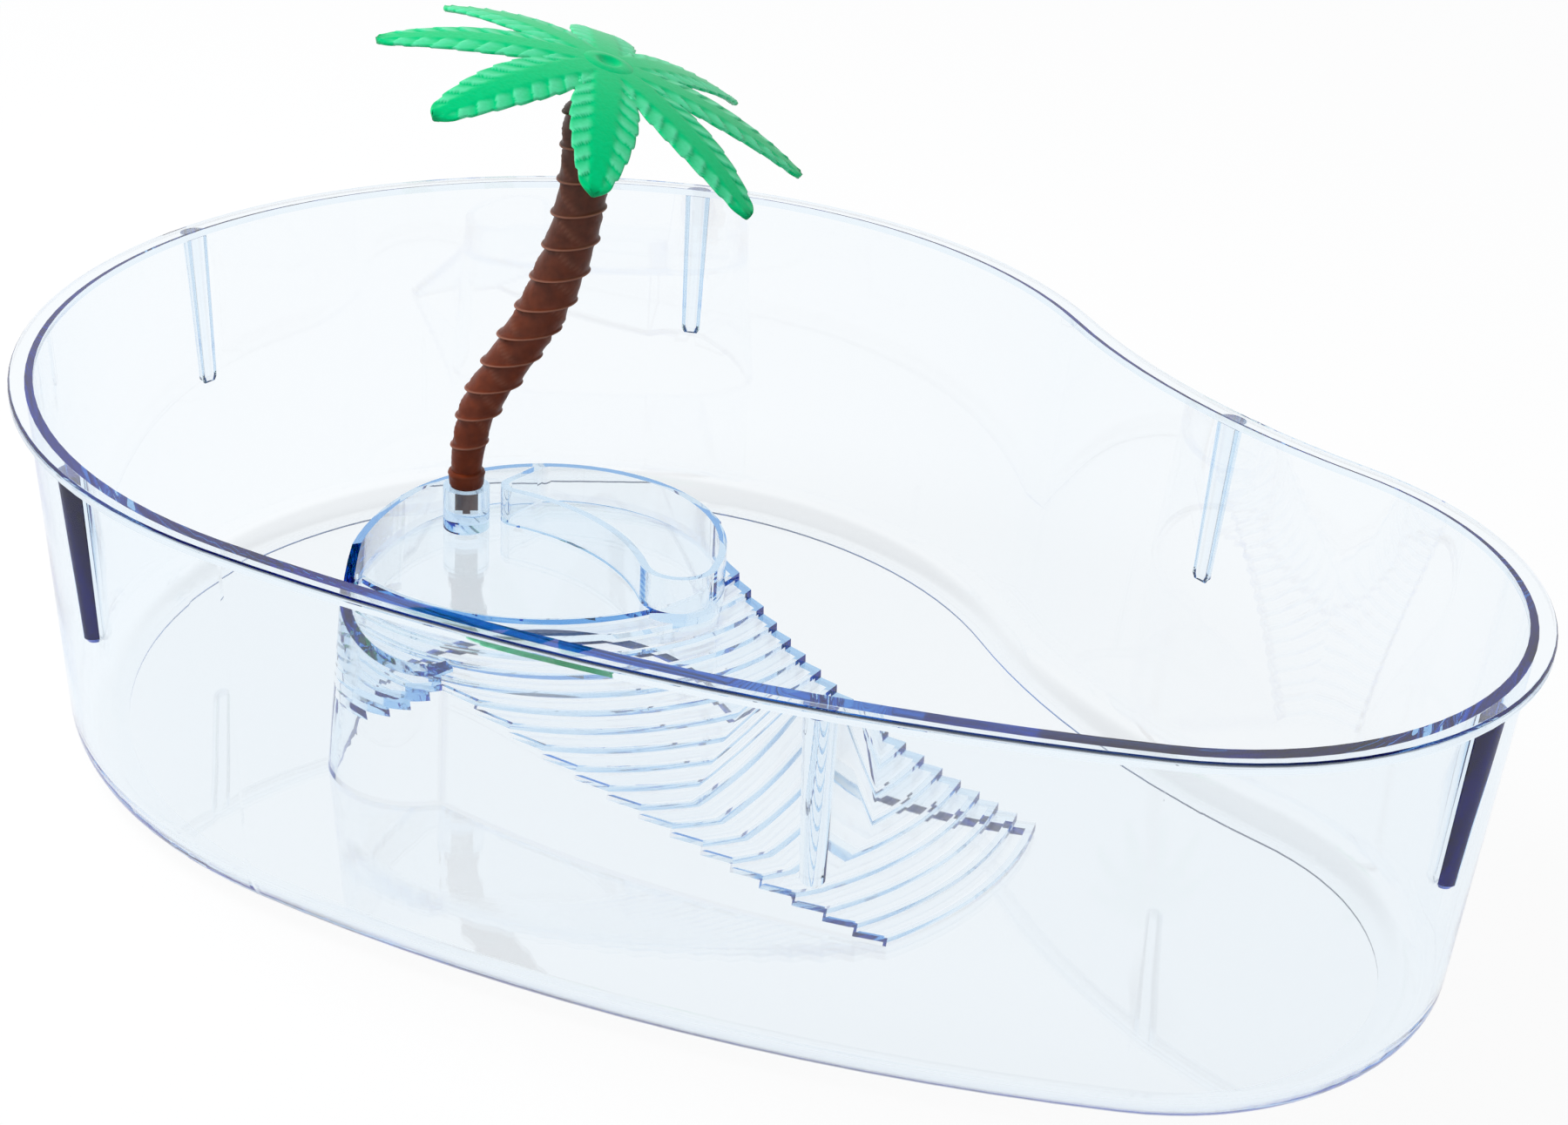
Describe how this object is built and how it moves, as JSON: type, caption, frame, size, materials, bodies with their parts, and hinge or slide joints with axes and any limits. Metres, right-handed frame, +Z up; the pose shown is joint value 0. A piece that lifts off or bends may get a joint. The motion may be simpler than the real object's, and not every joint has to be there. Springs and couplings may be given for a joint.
{
  "type": "turtle tank with palm tree",
  "caption": "Kidney-shaped clear tank with a stepped island, feeding pocket and plug-in palm tree for keeping small turtles in shallow water.",
  "frame": {"origin": "on the surface the tank stands on, below the middle of the tank's overall length and width", "axes": "+X along the tank's length towards its small lobe, +Y across towards the concave waist, +Z up"},
  "size_m": [0.4, 0.284, 0.1789],
  "materials": {
    "clear_plastic": "clear, glossy, faint blue tint",
    "brown_plastic": "satin reddish brown, mottled",
    "green_plastic": "glossy bright green, slightly translucent"
  },
  "bodies": {
    "root": {"tank": "clear_plastic", "palm_trunk": "brown_plastic", "palm_crown": "green_plastic"}
  },
  "joints": []
}
